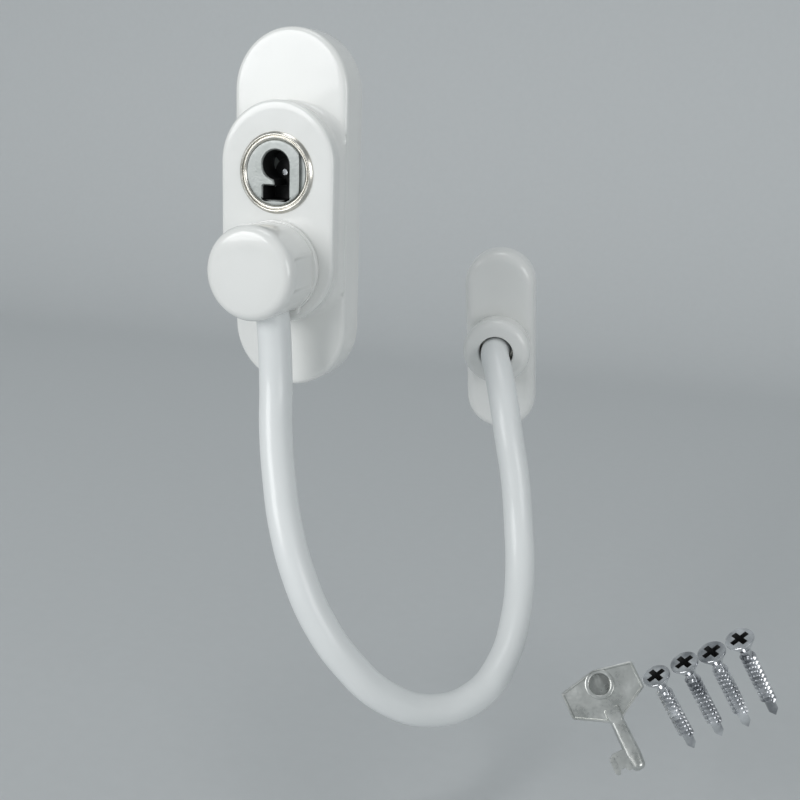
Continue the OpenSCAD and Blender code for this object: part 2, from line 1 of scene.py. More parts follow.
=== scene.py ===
"""Looks of a lockable cable restrictor for an opening window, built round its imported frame.

Pieces are modelled lying on their backs, in millimetres: x to the right, y up the unit and
z out of the wall. A place matrix then stands each one up in the shared frame, in metres.
"""
import json
import math

import bmesh
import bpy
from mathutils import Matrix, Vector


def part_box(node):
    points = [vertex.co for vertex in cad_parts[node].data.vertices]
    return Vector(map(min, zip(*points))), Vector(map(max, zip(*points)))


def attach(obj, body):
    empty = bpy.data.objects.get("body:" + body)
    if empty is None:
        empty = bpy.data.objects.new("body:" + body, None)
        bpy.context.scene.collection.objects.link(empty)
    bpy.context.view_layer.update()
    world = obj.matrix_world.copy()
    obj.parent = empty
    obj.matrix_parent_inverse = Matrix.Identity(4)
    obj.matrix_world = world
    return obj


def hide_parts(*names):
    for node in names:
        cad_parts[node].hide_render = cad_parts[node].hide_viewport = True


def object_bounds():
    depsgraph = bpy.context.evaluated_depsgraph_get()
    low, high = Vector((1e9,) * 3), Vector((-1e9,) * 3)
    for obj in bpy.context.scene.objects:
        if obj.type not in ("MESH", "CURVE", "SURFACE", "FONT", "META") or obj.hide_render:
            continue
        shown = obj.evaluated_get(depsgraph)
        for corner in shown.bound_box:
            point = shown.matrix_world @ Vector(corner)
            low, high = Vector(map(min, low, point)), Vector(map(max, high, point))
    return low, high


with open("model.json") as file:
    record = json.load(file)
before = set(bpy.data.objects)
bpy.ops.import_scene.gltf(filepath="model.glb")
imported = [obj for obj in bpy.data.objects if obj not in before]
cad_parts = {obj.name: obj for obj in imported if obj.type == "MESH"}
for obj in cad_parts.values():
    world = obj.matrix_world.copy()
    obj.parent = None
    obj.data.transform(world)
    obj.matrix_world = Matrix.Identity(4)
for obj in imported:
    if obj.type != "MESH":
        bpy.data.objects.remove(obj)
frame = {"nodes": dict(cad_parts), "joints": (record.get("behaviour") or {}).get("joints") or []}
cad_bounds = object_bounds()

MM = 0.001
STEPS = 96  # faces round a full turn
TINY = 0.0005  # points nearer than this, in millimetres, count as one
SHARP = 32  # degrees between two faces past which their edge stays crisp


# --- places, all from the frame ------------------------------------------------


def joint(name):
    return next(j for j in frame["joints"] if j["name"] == name)


def size_mm(node):
    """Width, depth and height of a node, in millimetres."""
    low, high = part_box(node)
    return (high - low) / MM


def place(point, outward, roll=0.0):
    """Matrix that stands a piece up: its z points outward and its y as near up as it can."""
    z = Vector(outward).normalized()
    up = Vector((0, 0, 1))
    y = (up - up.dot(z) * z).normalized()
    y.rotate(Matrix.Rotation(math.radians(roll), 3, z))
    turn = Matrix((y.cross(z), y, z)).transposed().to_4x4()
    return Matrix.Translation(point) @ turn @ Matrix.Scale(MM, 4)


FRONT = (0, -1, 0)
ANCHOR_ROLL = 2  # degrees by which the anchor unit is turned on the cable's end
LOCK = place((0, 0, 0), FRONT)
ANCHOR = place(joint("anchor_swivel")["pos_m"], joint("anchor_swivel")["axis"], ANCHOR_ROLL)
CYLINDER_Y = joint("key_turn")["pos_m"][2] / MM
KNOB_Y = joint("knob_swivel")["pos_m"][2] / MM


# --- camera and cable ----------------------------------------------------------


def add_camera():
    """Camera to the right of the unit, a little above it and slightly rolled."""
    azimuth, elevation, roll = (math.radians(a) for a in (20.1, 13.6, 1.75))
    aim, distance = Vector((23.4, 0, -40.0)) * MM, 252.5 * MM
    lens, film_width = 52, 36
    nearest, farthest = 10 * MM, 5
    back = Vector((math.sin(azimuth) * math.cos(elevation),
                   -math.cos(azimuth) * math.cos(elevation), math.sin(elevation)))
    data = bpy.data.cameras.new("camera")
    data.lens, data.sensor_width = lens, film_width
    data.clip_start, data.clip_end = nearest, farthest
    camera = bpy.data.objects.new("camera", data)
    camera.location = aim + distance * back
    turned = back.to_track_quat("Z", "Y")
    camera.rotation_mode = "QUATERNION"
    camera.rotation_quaternion = turned @ Matrix.Rotation(roll, 3, "Z").to_quaternion()
    bpy.context.collection.objects.link(camera)
    bpy.context.scene.camera = camera


# The cable's centreline, in millimetres in the frame. Its first four points leave the knob
# a little to the right of its middle; the others are those of the CAD's own route.
ROUTE = [
    (1.5, -18.4, -19.5), (1.75, -18.3, -22), (2.1, -18.2, -28), (2.6, -18.75, -35.5),
    (4, -21.5, -44.25), (6.5, -25, -52.75), (9.75, -28.5, -61.75), (13.75, -30.5, -71.25),
    (18.25, -30.5, -80.5), (23.75, -28, -89.75), (30.25, -22.5, -98.75),
    (37.75, -14.5, -104.25), (44.5, -5, -104.5), (48, 5, -100.25), (48.5, 14.5, -92.5),
    (47, 22, -83.5), (44.75, 27, -73.75), (42.75, 29.5, -63.75), (40, 31.5, -53.5),
    (37.5, 34.5, -45.75), (34.75, 39, -40.25), (32, 44.5, -36.5),
]
SHEATH_END = 8.2  # level in the anchor at which the sheath ends
CABLE_D = 7.0  # over the sheath


def add_sheath():
    """White sheath of the cable, a round cord that ends inside the anchor's boss."""
    smoothness = 14
    points = [Vector(p) * MM for p in ROUTE] + [ANCHOR @ Vector((0, 0, SHEATH_END))]
    line = bpy.data.curves.new("cable_sheath", "CURVE")
    line.dimensions = "3D"
    line.bevel_depth = 1  # times the radius at each point
    line.bevel_resolution = smoothness
    line.resolution_u = smoothness
    line.use_fill_caps = True
    spline = line.splines.new("BEZIER")
    spline.bezier_points.add(len(points) - 1)
    for knot, point in zip(spline.bezier_points, points):
        knot.co, knot.radius = point, CABLE_D / 2 * MM
        knot.handle_left_type = knot.handle_right_type = "AUTO"
    sheath = bpy.data.objects.new("sheath", line)
    bpy.context.collection.objects.link(sheath)
    length = sum((b - a).length for a, b in zip(points, points[1:]))
    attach(sheath, "knob")
    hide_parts("cable_sheath")
    return sheath


add_camera()
sheath = add_sheath()


# --- finishes ------------------------------------------------------------------


class Wire:
    """A shader socket's output that takes part in arithmetic, each step as a Math node."""

    def __init__(self, finish, socket):
        self.finish = finish
        self.socket = socket

    def maths(self, operation, *others):
        return self.finish.node("ShaderNodeMath", {"operation": operation},
                                dict(enumerate((self, *others))))

    def __add__(self, other):
        return self.maths("ADD", other)

    def __sub__(self, other):
        return self.maths("SUBTRACT", other)

    def __rsub__(self, other):
        return (self * -1).maths("ADD", other)

    def __mul__(self, other):
        return self.maths("MULTIPLY", other)

    __radd__ = __add__
    __rmul__ = __mul__

    def __pow__(self, other):
        return self.maths("POWER", other)

    def sine(self):
        return self.maths("SINE")


class Finish:
    """A material in the making; size is the width of a pattern's features, in metres."""

    def __init__(self, name, **constants):
        self.material = bpy.data.materials.new(name)
        self.material.use_nodes = True
        self.nodes = self.material.node_tree.nodes
        self.links = self.material.node_tree.links
        self.shader = self.nodes["Principled BSDF"]
        for socket, value in constants.items():
            self.feed(self.shader.inputs[socket.replace("_", " ")], value)
        self.at = self.node("ShaderNodeTexCoord", out="Object")

    def feed(self, socket, value):
        if isinstance(value, Wire):
            self.links.new(value.socket, socket)
        else:
            socket.default_value = value

    def node(self, kind, settings=(), sockets=(), out=0):
        made = self.nodes.new(kind)
        for name, value in dict(settings).items():
            setattr(made, name, value)
        for name, value in dict(sockets).items():
            self.feed(made.inputs[name], value)
        return Wire(self, made.outputs[out])

    def noise(self, size, detail=2.0, at=None):
        return self.node("ShaderNodeTexNoise", (),
                         {"Vector": at or self.at, "Scale": 1 / size, "Detail": detail})

    def between(self, value, low, high, start=0.3, end=0.7):
        return self.node("ShaderNodeMapRange", (), {
            "Value": value, "From Min": start, "From Max": end, "To Min": low, "To Max": high})

    def tint(self, share, first, second):
        return self.node("ShaderNodeMix", {"data_type": "RGBA"},
                         {0: share, 6: (*first, 1), 7: (*second, 1)}, out=2)

    def set(self, **inputs):
        for socket, value in inputs.items():
            self.feed(self.shader.inputs[socket.replace("_", " ")], value)

    def relief(self, height):
        """Bump from a height in metres."""
        self.set(Normal=self.node("ShaderNodeBump", (), {"Distance": 1.0, "Height": height}))


def moulded_white(name, light, dark, roughness, coat):
    """Injection-moulded plastic: faint clouding, a slow waviness and a fine skin."""
    wave_height, skin_height = 0.00006, 0.0000035
    plastic = Finish(name, IOR=1.49, Coat_Weight=coat, Coat_Roughness=0.05)
    cloud = plastic.noise(0.02, detail=3)
    wave = plastic.noise(0.007, detail=1)
    skin = plastic.noise(0.0005, detail=2)
    plastic.set(Base_Color=plastic.tint(plastic.between(cloud, 0, 1), dark, light),
                Roughness=plastic.between(skin * 0.5 + cloud * 0.5,
                                          roughness - 0.04, roughness + 0.05))
    plastic.relief(wave * wave_height + skin * skin_height)
    return plastic


def plated(name, light, dark, roughness, grain=0.0006, grain_height=0.000004):
    """Plated metal: a cloudy tint, a fine grain and rubbed patches."""
    metal = Finish(name, Metallic=1.0)
    cloud = metal.noise(0.004, detail=4)
    fine = metal.noise(grain, detail=3)
    metal.set(Base_Color=metal.tint(metal.between(cloud, 0, 1), dark, light),
              Roughness=metal.between(cloud * 0.6 + fine * 0.4,
                                      roughness - 0.07, roughness + 0.1))
    metal.relief(fine * grain_height)
    return metal


def turned_nickel(name, axis_height):
    """Nickel plate with the fine rings left by turning round an axis that lies along Y."""
    light, dark = (0.76, 0.74, 0.69), (0.56, 0.54, 0.49)
    ring_width, ring_height = 0.00012, 0.000006
    metal = Finish(name, Metallic=1.0)
    apart = metal.node("ShaderNodeSeparateXYZ", (), {0: metal.at})
    across, _, height = (Wire(metal, s) for s in apart.socket.node.outputs)
    up = height - axis_height
    radius = (across * across + up * up) ** 0.5
    line = metal.node("ShaderNodeCombineXYZ", (), {0: radius})
    rings = metal.noise(ring_width, detail=2, at=line)
    cloud = metal.noise(0.003, detail=3)
    metal.set(Base_Color=metal.tint(metal.between(cloud, 0, 1), dark, light),
              Roughness=metal.between(rings * 0.6 + cloud * 0.4, 0.16, 0.34))
    metal.relief(rings * ring_height)
    return metal


def stranded_rope(name):
    """Steel wire rope whose strands wind round an axis that stands upright, with painted shade
    darkening the grooves between strands.
    """
    light, dark = (0.6, 0.61, 0.62), (0.16, 0.16, 0.17)
    strands, lay, strand_height = 6, 2600, 0.00015
    axis_depth = 0.0185  # metres in front of the unit's back
    metal = Finish(name, Metallic=1.0)
    apart = metal.node("ShaderNodeSeparateXYZ", (), {0: metal.at})
    across, depth, up = (Wire(metal, s) for s in apart.socket.node.outputs)
    angle = across.maths("ARCTAN2", depth + axis_depth)
    strand = (angle * strands + up * lay).sine()
    # Painted shade: the base colour goes dark where the strand relief dips, standing in for shadow
    # in the grooves.
    metal.set(Base_Color=metal.tint(metal.between(strand, 0, 1, -1, 1), dark, light),
              Roughness=metal.between(metal.noise(0.0008), 0.3, 0.45))
    metal.relief(strand * strand_height)
    return metal


def painted_shade_bore(name):
    """Painted shade: near-black finish for the inside of a keyway or of a screw's recess, standing
    in for the shadow deep in the hollow.
    """
    bore = Finish(name, Metallic=0.3)
    shade_mottle = bore.noise(0.0006, detail=3)
    bore.set(Base_Color=bore.tint(shade_mottle, (0.004, 0.004, 0.005), (0.02, 0.02, 0.02)),
             Roughness=bore.between(shade_mottle, 0.45, 0.7))
    return bore


GLOSS_WHITE = moulded_white("gloss_white_plastic", (0.86, 0.865, 0.85), (0.82, 0.825, 0.805),
                            roughness=0.2, coat=0.35)
SATIN_WHITE = moulded_white("satin_white_sheath", (0.84, 0.86, 0.86), (0.80, 0.82, 0.82),
                            roughness=0.32, coat=0.15)
TURNED_NICKEL = turned_nickel("turned_nickel", CYLINDER_Y * MM)
NICKEL = plated("nickel_plate", (0.76, 0.74, 0.69), (0.6, 0.58, 0.53), 0.24)
CAST_ZINC = plated("cast_zinc", (0.74, 0.75, 0.73), (0.58, 0.59, 0.57), 0.3,
                   grain=0.0005, grain_height=0.00001)
PLUG_ZINC = plated("plug_zinc", (0.5, 0.52, 0.51), (0.34, 0.36, 0.35), 0.5,
                   grain=0.0005, grain_height=0.00004)
BRIGHT_ZINC = plated("bright_zinc_plate", (0.94, 0.95, 0.97), (0.34, 0.35, 0.37), 0.15)
SHEET_STEEL = plated("zinc_plated_sheet", (0.62, 0.63, 0.64), (0.44, 0.45, 0.46), 0.33,
                     grain=0.0012, grain_height=0.00001)
SPRING_STEEL = plated("spring_steel", (0.4, 0.4, 0.41), (0.26, 0.26, 0.27), 0.3)
WIRE_ROPE = stranded_rope("wire_rope")
# Near-black painted shade for the hollows of the keyway and the screw recesses.
PAINTED_SHADE_BORE = painted_shade_bore("painted_shade_bore")

CAD_FINISHES = {
    "base_plate": SHEET_STEEL, "lock_case": CAST_ZINC, "case_screws": BRIGHT_ZINC,
    "centre_post": BRIGHT_ZINC, "cam": SHEET_STEEL, "plug_clip": SPRING_STEEL,
    "locking_bolt": SHEET_STEEL, "bolt_spring": SPRING_STEEL, "stud": NICKEL,
    "stud_clip": SPRING_STEEL, "knob_screws": BRIGHT_ZINC, "cable_eye": NICKEL,
    "cable_core": WIRE_ROPE, "end_ferrule": NICKEL, "anchor_base": SHEET_STEEL,
    "anchor_socket": NICKEL, "anchor_clip": SPRING_STEEL,
}
for node_name, finish in CAD_FINISHES.items():
    mesh = frame["nodes"][node_name].data
    mesh.materials.clear()
    mesh.materials.append(finish.material)
sheath.data.materials.append(SATIN_WHITE.material)


# --- modelling helpers ---------------------------------------------------------


def rounded(corners, steps=6):
    """Points through the corners (x, y) or (x, y, radius), each radius turned into an arc."""
    points = []
    count = len(corners)
    for i, corner in enumerate(corners):
        here = Vector(corner[:2])
        radius = corner[2] if len(corner) > 2 else 0
        if not radius:
            points.append(tuple(here))
            continue
        before = (Vector(corners[i - 1][:2]) - here).normalized()
        after = (Vector(corners[(i + 1) % count][:2]) - here).normalized()
        half = before.angle(after) / 2
        middle = here + (before + after).normalized() * radius / math.sin(half)
        reach = radius / math.tan(half)
        spokes = [here + way * reach - middle for way in (before, after)]
        start, end = (math.atan2(s.y, s.x) for s in spokes)
        turn = (end - start + math.pi) % (2 * math.pi) - math.pi
        for k in range(steps + 1):
            angle = start + turn * k / steps
            points.append((middle.x + radius * math.cos(angle),
                           middle.y + radius * math.sin(angle)))
    return points


def joined(bm, points, closed=False):
    """Vertices at the points, with edges between them."""
    verts = [bm.verts.new(p) for p in points]
    edges = [bm.edges.new(pair) for pair in zip(verts, verts[1:])]
    if closed:
        edges.append(bm.edges.new((verts[-1], verts[0])))
    return verts, edges


def new_chain(made):
    """The vertices that an extrusion made, with the edges between them alone."""
    verts = [g for g in made["geom"] if isinstance(g, bmesh.types.BMVert)]
    fresh = set(verts)
    edges = [g for g in made["geom"]
             if isinstance(g, bmesh.types.BMEdge) and set(g.verts) <= fresh]
    return verts, edges


def swept(bm, profile, centre=(0, 0), run=0.0, steps=STEPS):
    """Sweeps a profile (distance from the middle, height) round a centre.

    With a run it goes round a long outline instead, whose two ends are that far apart."""
    x, y = centre
    verts, edges = joined(bm, [(x + r, y + run / 2, z) for r, z in profile])
    for side in (1, -1) if run else (0,):
        made = bmesh.ops.spin(
            bm, geom=verts + edges, cent=(x, y + side * run / 2, 0), axis=(0, 0, 1),
            dvec=(0, 0, 0), angle=math.pi if run else 2 * math.pi,
            steps=steps // 2 if run else steps, use_merge=not run, use_duplicate=False)
        if run:
            last = [g for g in made["geom_last"] if isinstance(g, bmesh.types.BMEdge)]
            verts, edges = new_chain(bmesh.ops.extrude_edge_only(bm, edges=last))
            bmesh.ops.translate(bm, verts=verts, vec=(0, -side * run, 0))
    bmesh.ops.remove_doubles(bm, verts=bm.verts, dist=TINY)


def fill(bm, height):
    """Closes the open rims that lie at a height, leaving the holes inside them."""
    rims = [e for e in bm.edges
            if len(e.link_faces) < 2 and all(abs(v.co.z - height) < TINY for v in e.verts)]
    bmesh.ops.triangle_fill(bm, use_beauty=True, use_dissolve=False, edges=rims)


def shrunk(outline, by):
    """A closed outline drawn in by a distance, whichever way round it runs."""
    least_lean = 0.5  # keeps a pointed corner from running away
    count = len(outline)
    area = sum(outline[i - 1][0] * outline[i][1] - outline[i][0] * outline[i - 1][1]
               for i in range(count))
    points = []
    for i, here in enumerate(outline):
        before = (Vector(here) - Vector(outline[i - 1])).normalized()
        after = (Vector(outline[(i + 1) % count]) - Vector(here)).normalized()
        inward = Vector((-(before + after).y, (before + after).x)).normalized()
        if area < 0:
            inward = -inward
        lean = max(least_lean, abs(inward.dot(Vector((-after.y, after.x)))))
        points.append(tuple(Vector(here) + inward * by / lean))
    return points


def stacked(bm, outline, levels):
    """Wall through copies of a closed outline, each drawn in by (inset) at a (height)."""
    last = None
    for inset, height in levels:
        _, edges = joined(bm, [(x, y, height) for x, y in shrunk(outline, inset)], closed=True)
        if last:
            bmesh.ops.bridge_loops(bm, edges=last + edges)
        last = edges


def soft_edges(low, high, by):
    """Levels for a wall from low to high whose two edges are rounded."""
    near, mid = by * 0.08, by * 0.3
    return [(by, low), (mid, low + near), (near, low + mid), (0, low + by),
            (0, high - by), (near, high - mid), (mid, high - near), (by, high)]


def piece(name, bm, where, body, nodes, finish, sharp=SHARP):
    """Turns a finished bmesh into a piece that rides on a body and stands for CAD nodes."""
    bmesh.ops.remove_doubles(bm, verts=bm.verts, dist=TINY)
    bmesh.ops.recalc_face_normals(bm, faces=bm.faces)
    bmesh.ops.transform(bm, matrix=where, verts=bm.verts)
    mesh = bpy.data.meshes.new(name)
    bm.to_mesh(mesh)
    bm.free()
    mesh.shade_smooth()
    mesh.set_sharp_from_angle(angle=math.radians(sharp))
    mesh.materials.append(finish.material)
    made = bpy.data.objects.new(name, mesh)
    bpy.context.collection.objects.link(made)
    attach(made, body)
    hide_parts(*nodes)
    return made


def combine(shape, other, where, operation):
    """Joins a lying bmesh's shape to a piece, or cuts it away, for good."""
    mesh = bpy.data.meshes.new("tool")
    bmesh.ops.recalc_face_normals(other, faces=other.faces)
    bmesh.ops.transform(other, matrix=where, verts=other.verts)
    other.to_mesh(mesh)
    other.free()
    mesh.shade_smooth()
    tool = bpy.data.objects.new("tool", mesh)
    bpy.context.collection.objects.link(tool)
    step = shape.modifiers.new("combine", "BOOLEAN")
    step.object, step.solver, step.operation = tool, "EXACT", operation
    graph = bpy.context.evaluated_depsgraph_get()
    shape.data = bpy.data.meshes.new_from_object(shape.evaluated_get(graph))
    shape.modifiers.clear()
    bpy.data.objects.remove(tool)
    shape.data.set_sharp_from_angle(angle=math.radians(SHARP))


def add_mesh(bm, part):
    """Adds one bmesh to another."""
    mesh = bpy.data.meshes.new("part")
    bmesh.ops.recalc_face_normals(part, faces=part.faces)
    part.to_mesh(mesh)
    part.free()
    bm.from_mesh(mesh)
    bpy.data.meshes.remove(mesh)

# --- lock unit -----------------------------------------------------------------

plate_w, plate_d, plate_l = size_mm("cover_plate")
housing_w, housing_h, housing_l = size_mm("housing")
plate_run, housing_run = plate_l - plate_w, housing_l - housing_w
housing_front = plate_d + housing_h
WINDOW_R = 10.4  # half the width of the opening behind the housing


def add_cover_plate():
    """Long cover with a soft front edge and an opening behind the housing."""
    half, wall = plate_w / 2, 1.5
    bm = bmesh.new()
    swept(bm, rounded([
        (half - 2.2, plate_d), (half - 0.1, plate_d, 1.1), (half, 0, 0.25), (half - wall, 0, 0.25),
        (half - wall, plate_d - wall, 0.5), (half - wall - 0.9, plate_d - wall)]), run=plate_run)
    swept(bm, [(WINDOW_R, plate_d), (WINDOW_R, plate_d - wall)], run=housing_run)
    fill(bm, plate_d)
    fill(bm, plate_d - wall)
    piece("cover_plate_moulding", bm, LOCK, "lock", ["cover_plate"], GLOSS_WHITE)


def add_housing():
    """Raised housing that flares to its front and sweeps out at its foot."""
    half, wall, flare, sweep = housing_w / 2, 1.6, 0.9, 2.2
    side_limit = plate_w / 2 - 0.22
    side_foot, tucked_in = 1.5, 0.45
    drawn_in, side_share = 0.65, 0.6
    ceiling = housing_front - wall
    bm = bmesh.new()
    swept(bm, rounded([
        (half - 1.9, housing_front), (half, housing_front, 0.8),
        (half - flare, plate_d, sweep), (half - flare + sweep + 0.01, plate_d),
        (half - flare + sweep, plate_d - 0.1), (WINDOW_R, plate_d - 0.1),
        (WINDOW_R, ceiling, 0.5), (WINDOW_R - 0.9, ceiling)]), run=housing_run)
    for v in bm.verts:
        spoke = Vector((v.co.x, v.co.y - math.copysign(housing_run / 2, v.co.y)))
        reach = spoke.length - (half - flare)
        beyond = abs(v.co.y) > housing_run / 2 and reach > 0 and v.co.z < plate_d + sweep
        if beyond:
            end_on = max(0, abs(spoke.normalized().y) - side_share) / (1 - side_share)
            v.co.xy -= spoke.normalized() * reach * drawn_in * end_on
        if abs(v.co.x) > side_limit and v.co.z < plate_d + side_foot:
            v.co.x = math.copysign(side_limit, v.co.x)
            if v.co.z < plate_d + TINY:
                v.co.z = plate_d - tucked_in
    swept(bm, [(7.9, housing_front), (7.7, housing_front - 0.2), (7.7, ceiling)], (0, CYLINDER_Y))
    swept(bm, [(4.5, housing_front), (4.2, housing_front - 0.3), (4.2, ceiling)], (0, KNOB_Y))
    fill(bm, housing_front)
    fill(bm, ceiling)
    piece("housing_moulding", bm, LOCK, "lock", ["housing"], GLOSS_WHITE)


def add_cylinder_sleeve():
    """Sleeve of the key cylinder, with a rounded, grooved ring on its front."""
    back, floor, hole_r, bore_r, body_r, ring_r = 7.5, 8.5, 2.85, 6.68, 7.5, 8.3
    front = size_mm("cylinder_sleeve")[1] + back
    bm = bmesh.new()
    swept(bm, rounded([
        (hole_r, floor), (bore_r, floor, 0.3), (bore_r, front - 0.45), (7.0, front - 0.2, 0.1),
        (7.2, front - 0.2), (7.28, front - 0.45), (7.42, front - 0.45), (7.55, front - 0.1, 0.1),
        (7.75, front, 0.2), (ring_r, front - 0.5, 0.3), (ring_r, front - 0.7),
        (body_r, front - 0.7), (body_r, back), (hole_r, back), (hole_r, floor)],
        steps=4), (0, CYLINDER_Y))
    piece("cylinder_ring", bm, LOCK, "lock", ["cylinder_sleeve"], TURNED_NICKEL)


def keyway_outline():
    """Round top, straight right side, and a square foot to the left, about the plug's axis."""
    r, top, left, foot, foot_top = 3.0, 1.6, -2.9, -5.5, -2.6
    arc = [(r * math.cos(a), top + r * math.sin(a))
           for a in (math.radians(10 * k) for k in range(0, 27))]
    rest = rounded([arc[-1], (-0.1, foot_top, 0.3), (left, foot_top, 0.3), (left, foot, 0.4),
                    (r, foot, 0.4), arc[0]], steps=3)
    return arc + rest[1:-1]


def add_plug():
    """Turning plug with its keyway; its right side is cut flat at the face."""
    front, floor, flat, step = 14.3, 8.5, 5.3, 13.55
    r, neck_r, groove_r, tail_r, tail = 6.6, 2.8, 2.3, 1.8, 5.4
    flattened = 0.05
    bm = bmesh.new()
    swept(bm, rounded([
        (5.9, front), (r, front, 0.3), (r, step + 0.02), (r, step), (r, step - 0.3),
        (r, 8.6), (neck_r, 8.6), (neck_r, 7.4), (groove_r, 7.4), (groove_r, 6.85),
        (neck_r, 6.85), (neck_r, 6.6), (tail_r, 6.6), (tail_r, tail), (0, tail)], steps=4))
    for v in bm.verts:
        if v.co.x > flat and v.co.z > step + 0.01:
            v.co.x = flat + (v.co.x - flat) * flattened
    stacked(bm, keyway_outline(), [(-0.3, front), (-0.05, front - 0.25), (0, front - 0.4),
                                   (0, floor)])
    fill(bm, front)
    fill(bm, floor)
    bmesh.ops.translate(bm, verts=bm.verts, vec=(0, CYLINDER_Y, 0))
    plug = piece("plug_face", bm, LOCK, "plug", ["plug"], PLUG_ZINC)
    # Painted shade: the keyway's inner walls and floor behind its rim take the near-black second
    # material.
    plug.data.materials.append(PAINTED_SHADE_BORE.material)
    keyway_half, keyway_foot, keyway_top, rim = 3.05, -5.6, 4.7, 0.45
    for face in plug.data.polygons:
        x, depth, height = face.center / MM
        inside = (-keyway_half < x < keyway_half
                  and keyway_foot < height - CYLINDER_Y < keyway_top)
        if inside and -front + rim < depth < -floor + TINY:
            face.material_index = 1


add_cover_plate()
add_housing()
add_cylinder_sleeve()
add_plug()


# --- knob ----------------------------------------------------------------------

KNOB_BACK = housing_front + 0.1
knob_r = size_mm("knob_shell")[0] / 2
shell_back = -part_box("knob_shell")[1].y / MM
knob_front = -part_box("knob_shell")[0].y / MM
CABLE_LEVEL = -ROUTE[0][1]
NOTCH_R = CABLE_D / 2 + 0.4


def add_knob_base():
    """Base disc with a squared lip on each side of the cable's way out."""
    r, top, thick = size_mm("knob_base")[0] / 2, shell_back, shell_back - KNOB_BACK
    lip_x, lip_y, notch_y, stud_hole_r = 5.7, -9.3, -8, 3.05
    first, last = -52, 232  # degrees between which the disc is round
    arc = [(r * math.cos(math.radians(a)), r * math.sin(math.radians(a)))
           for a in range(first, last + 1, 4)]
    foot = rounded([arc[-1], (-lip_x, lip_y, 0.6), (-NOTCH_R, lip_y, 0.3),
                    (-NOTCH_R, notch_y, 0.5), (NOTCH_R, notch_y, 0.5), (NOTCH_R, lip_y, 0.3),
                    (lip_x, lip_y, 0.6), arc[0]], steps=4)
    bm = bmesh.new()
    stacked(bm, arc + foot[1:-1], soft_edges(top - thick, top, 0.3))
    swept(bm, [(stud_hole_r, top), (stud_hole_r, KNOB_BACK)])
    fill(bm, top)
    fill(bm, KNOB_BACK)
    bmesh.ops.translate(bm, verts=bm.verts, vec=(0, KNOB_Y, 0))
    piece("knob_base_disc", bm, LOCK, "knob", ["knob_base"], GLOSS_WHITE)


def add_knob_shell():
    """Cap with a soft front edge, a finger flat on each side and a way out for the cable."""
    wall, grip_front, flat_angle = 1.7, knob_front - 3.4, 22.5
    flat = knob_r * math.cos(math.radians(flat_angle))
    bm = bmesh.new()
    swept(bm, rounded([
        (0, knob_front), (5, knob_front - 0.05), (knob_r, knob_front - 0.2, 2.0),
        (knob_r, grip_front + 0.35), (knob_r, grip_front), (knob_r, shell_back, 0.15),
        (knob_r - wall, shell_back, 0.15), (knob_r - wall, knob_front - wall, 0.8),
        (0, knob_front - wall)]))
    for v in bm.verts:
        outside = v.co.xy.length > knob_r - 0.3
        if outside and v.co.z < grip_front + 0.1 and abs(v.co.x) > flat:
            v.co.x = math.copysign(flat, v.co.x)
    bmesh.ops.translate(bm, verts=bm.verts, vec=(0, KNOB_Y, 0))
    shell = piece("knob_cap", bm, LOCK, "knob", ["knob_shell"], GLOSS_WHITE)
    low, mouth = shell_back - 1, 5.4
    inner_end, cut_length = 6.5, 8
    reach = [(mouth, low), (mouth, CABLE_LEVEL)]
    arch = [(mouth * math.cos(math.radians(a)), CABLE_LEVEL + NOTCH_R * math.sin(math.radians(a)))
            for a in range(10, 180, 10)]
    outline = reach + arch + [(-x, z) for x, z in reversed(reach)]
    slot = bmesh.new()
    _, edges = joined(slot, [(x, KNOB_Y - inner_end, z) for x, z in outline], closed=True)
    back = bmesh.ops.contextual_create(slot, geom=edges)["faces"]
    out = bmesh.ops.extrude_face_region(slot, geom=back)
    bmesh.ops.translate(slot, verts=[g for g in out["geom"] if isinstance(g, bmesh.types.BMVert)],
                        vec=(0, -cut_length, 0))
    combine(shell, slot, LOCK, "DIFFERENCE")


add_knob_base()
add_knob_shell()


# --- anchor unit ---------------------------------------------------------------


def add_anchor_cover():
    """Small long cover with a broad soft edge and a flared boss that the cable enters."""
    half, depth, wall, run = 8.85, 5.4, 1.4, 30.5
    front, boss_foot, boss_r, bore, room = 12.5, 7.8, 8.7, 4.3, 6.4
    ceiling = depth - wall
    bm = bmesh.new()
    swept(bm, rounded([
        (half - 3.2, depth), (half - 0.1, depth, 2.4), (half, 0, 0.25), (half - wall, 0, 0.25),
        (half - wall, ceiling, 0.8), (half - wall - 1, ceiling)], steps=8), run=run)
    fill(bm, depth)
    fill(bm, ceiling)
    cover = piece("anchor_moulding", bm, ANCHOR, "anchor", ["anchor_cover"], GLOSS_WHITE)
    boss = bmesh.new()
    swept(boss, rounded([
        (0, ceiling + 0.3), (boss_foot - 0.1, ceiling + 0.3), (boss_foot, depth + 0.3),
        (boss_r, front, 1.9), (5, front), (0, front)], steps=10))
    combine(cover, boss, ANCHOR, "UNION")
    cavity = bmesh.new()
    swept(cavity, rounded([
        (0, -0.5), (room, -0.5), (room, front - 2.2, 0.2), (bore, front - 2.2),
        (bore, front - 0.5), (bore + 0.12, front - 0.15), (bore + 0.45, front + 0.02),
        (bore + 0.45, front + 1), (0, front + 1)], steps=4))
    combine(cover, cavity, ANCHOR, "DIFFERENCE")


add_anchor_cover()


# --- key and screws --------------------------------------------------------------

KEY = (Matrix.Translation(Vector((73.5, -6, -97)) * MM)
       @ Matrix.Rotation(math.radians(9), 4, "Z") @ Matrix.Rotation(math.radians(-27), 4, "X")
       @ Matrix.Rotation(math.radians(-31), 4, "Y") @ LOCK)
KEY_TIP = -16.5  # the shaft's end, below the middle of the bow


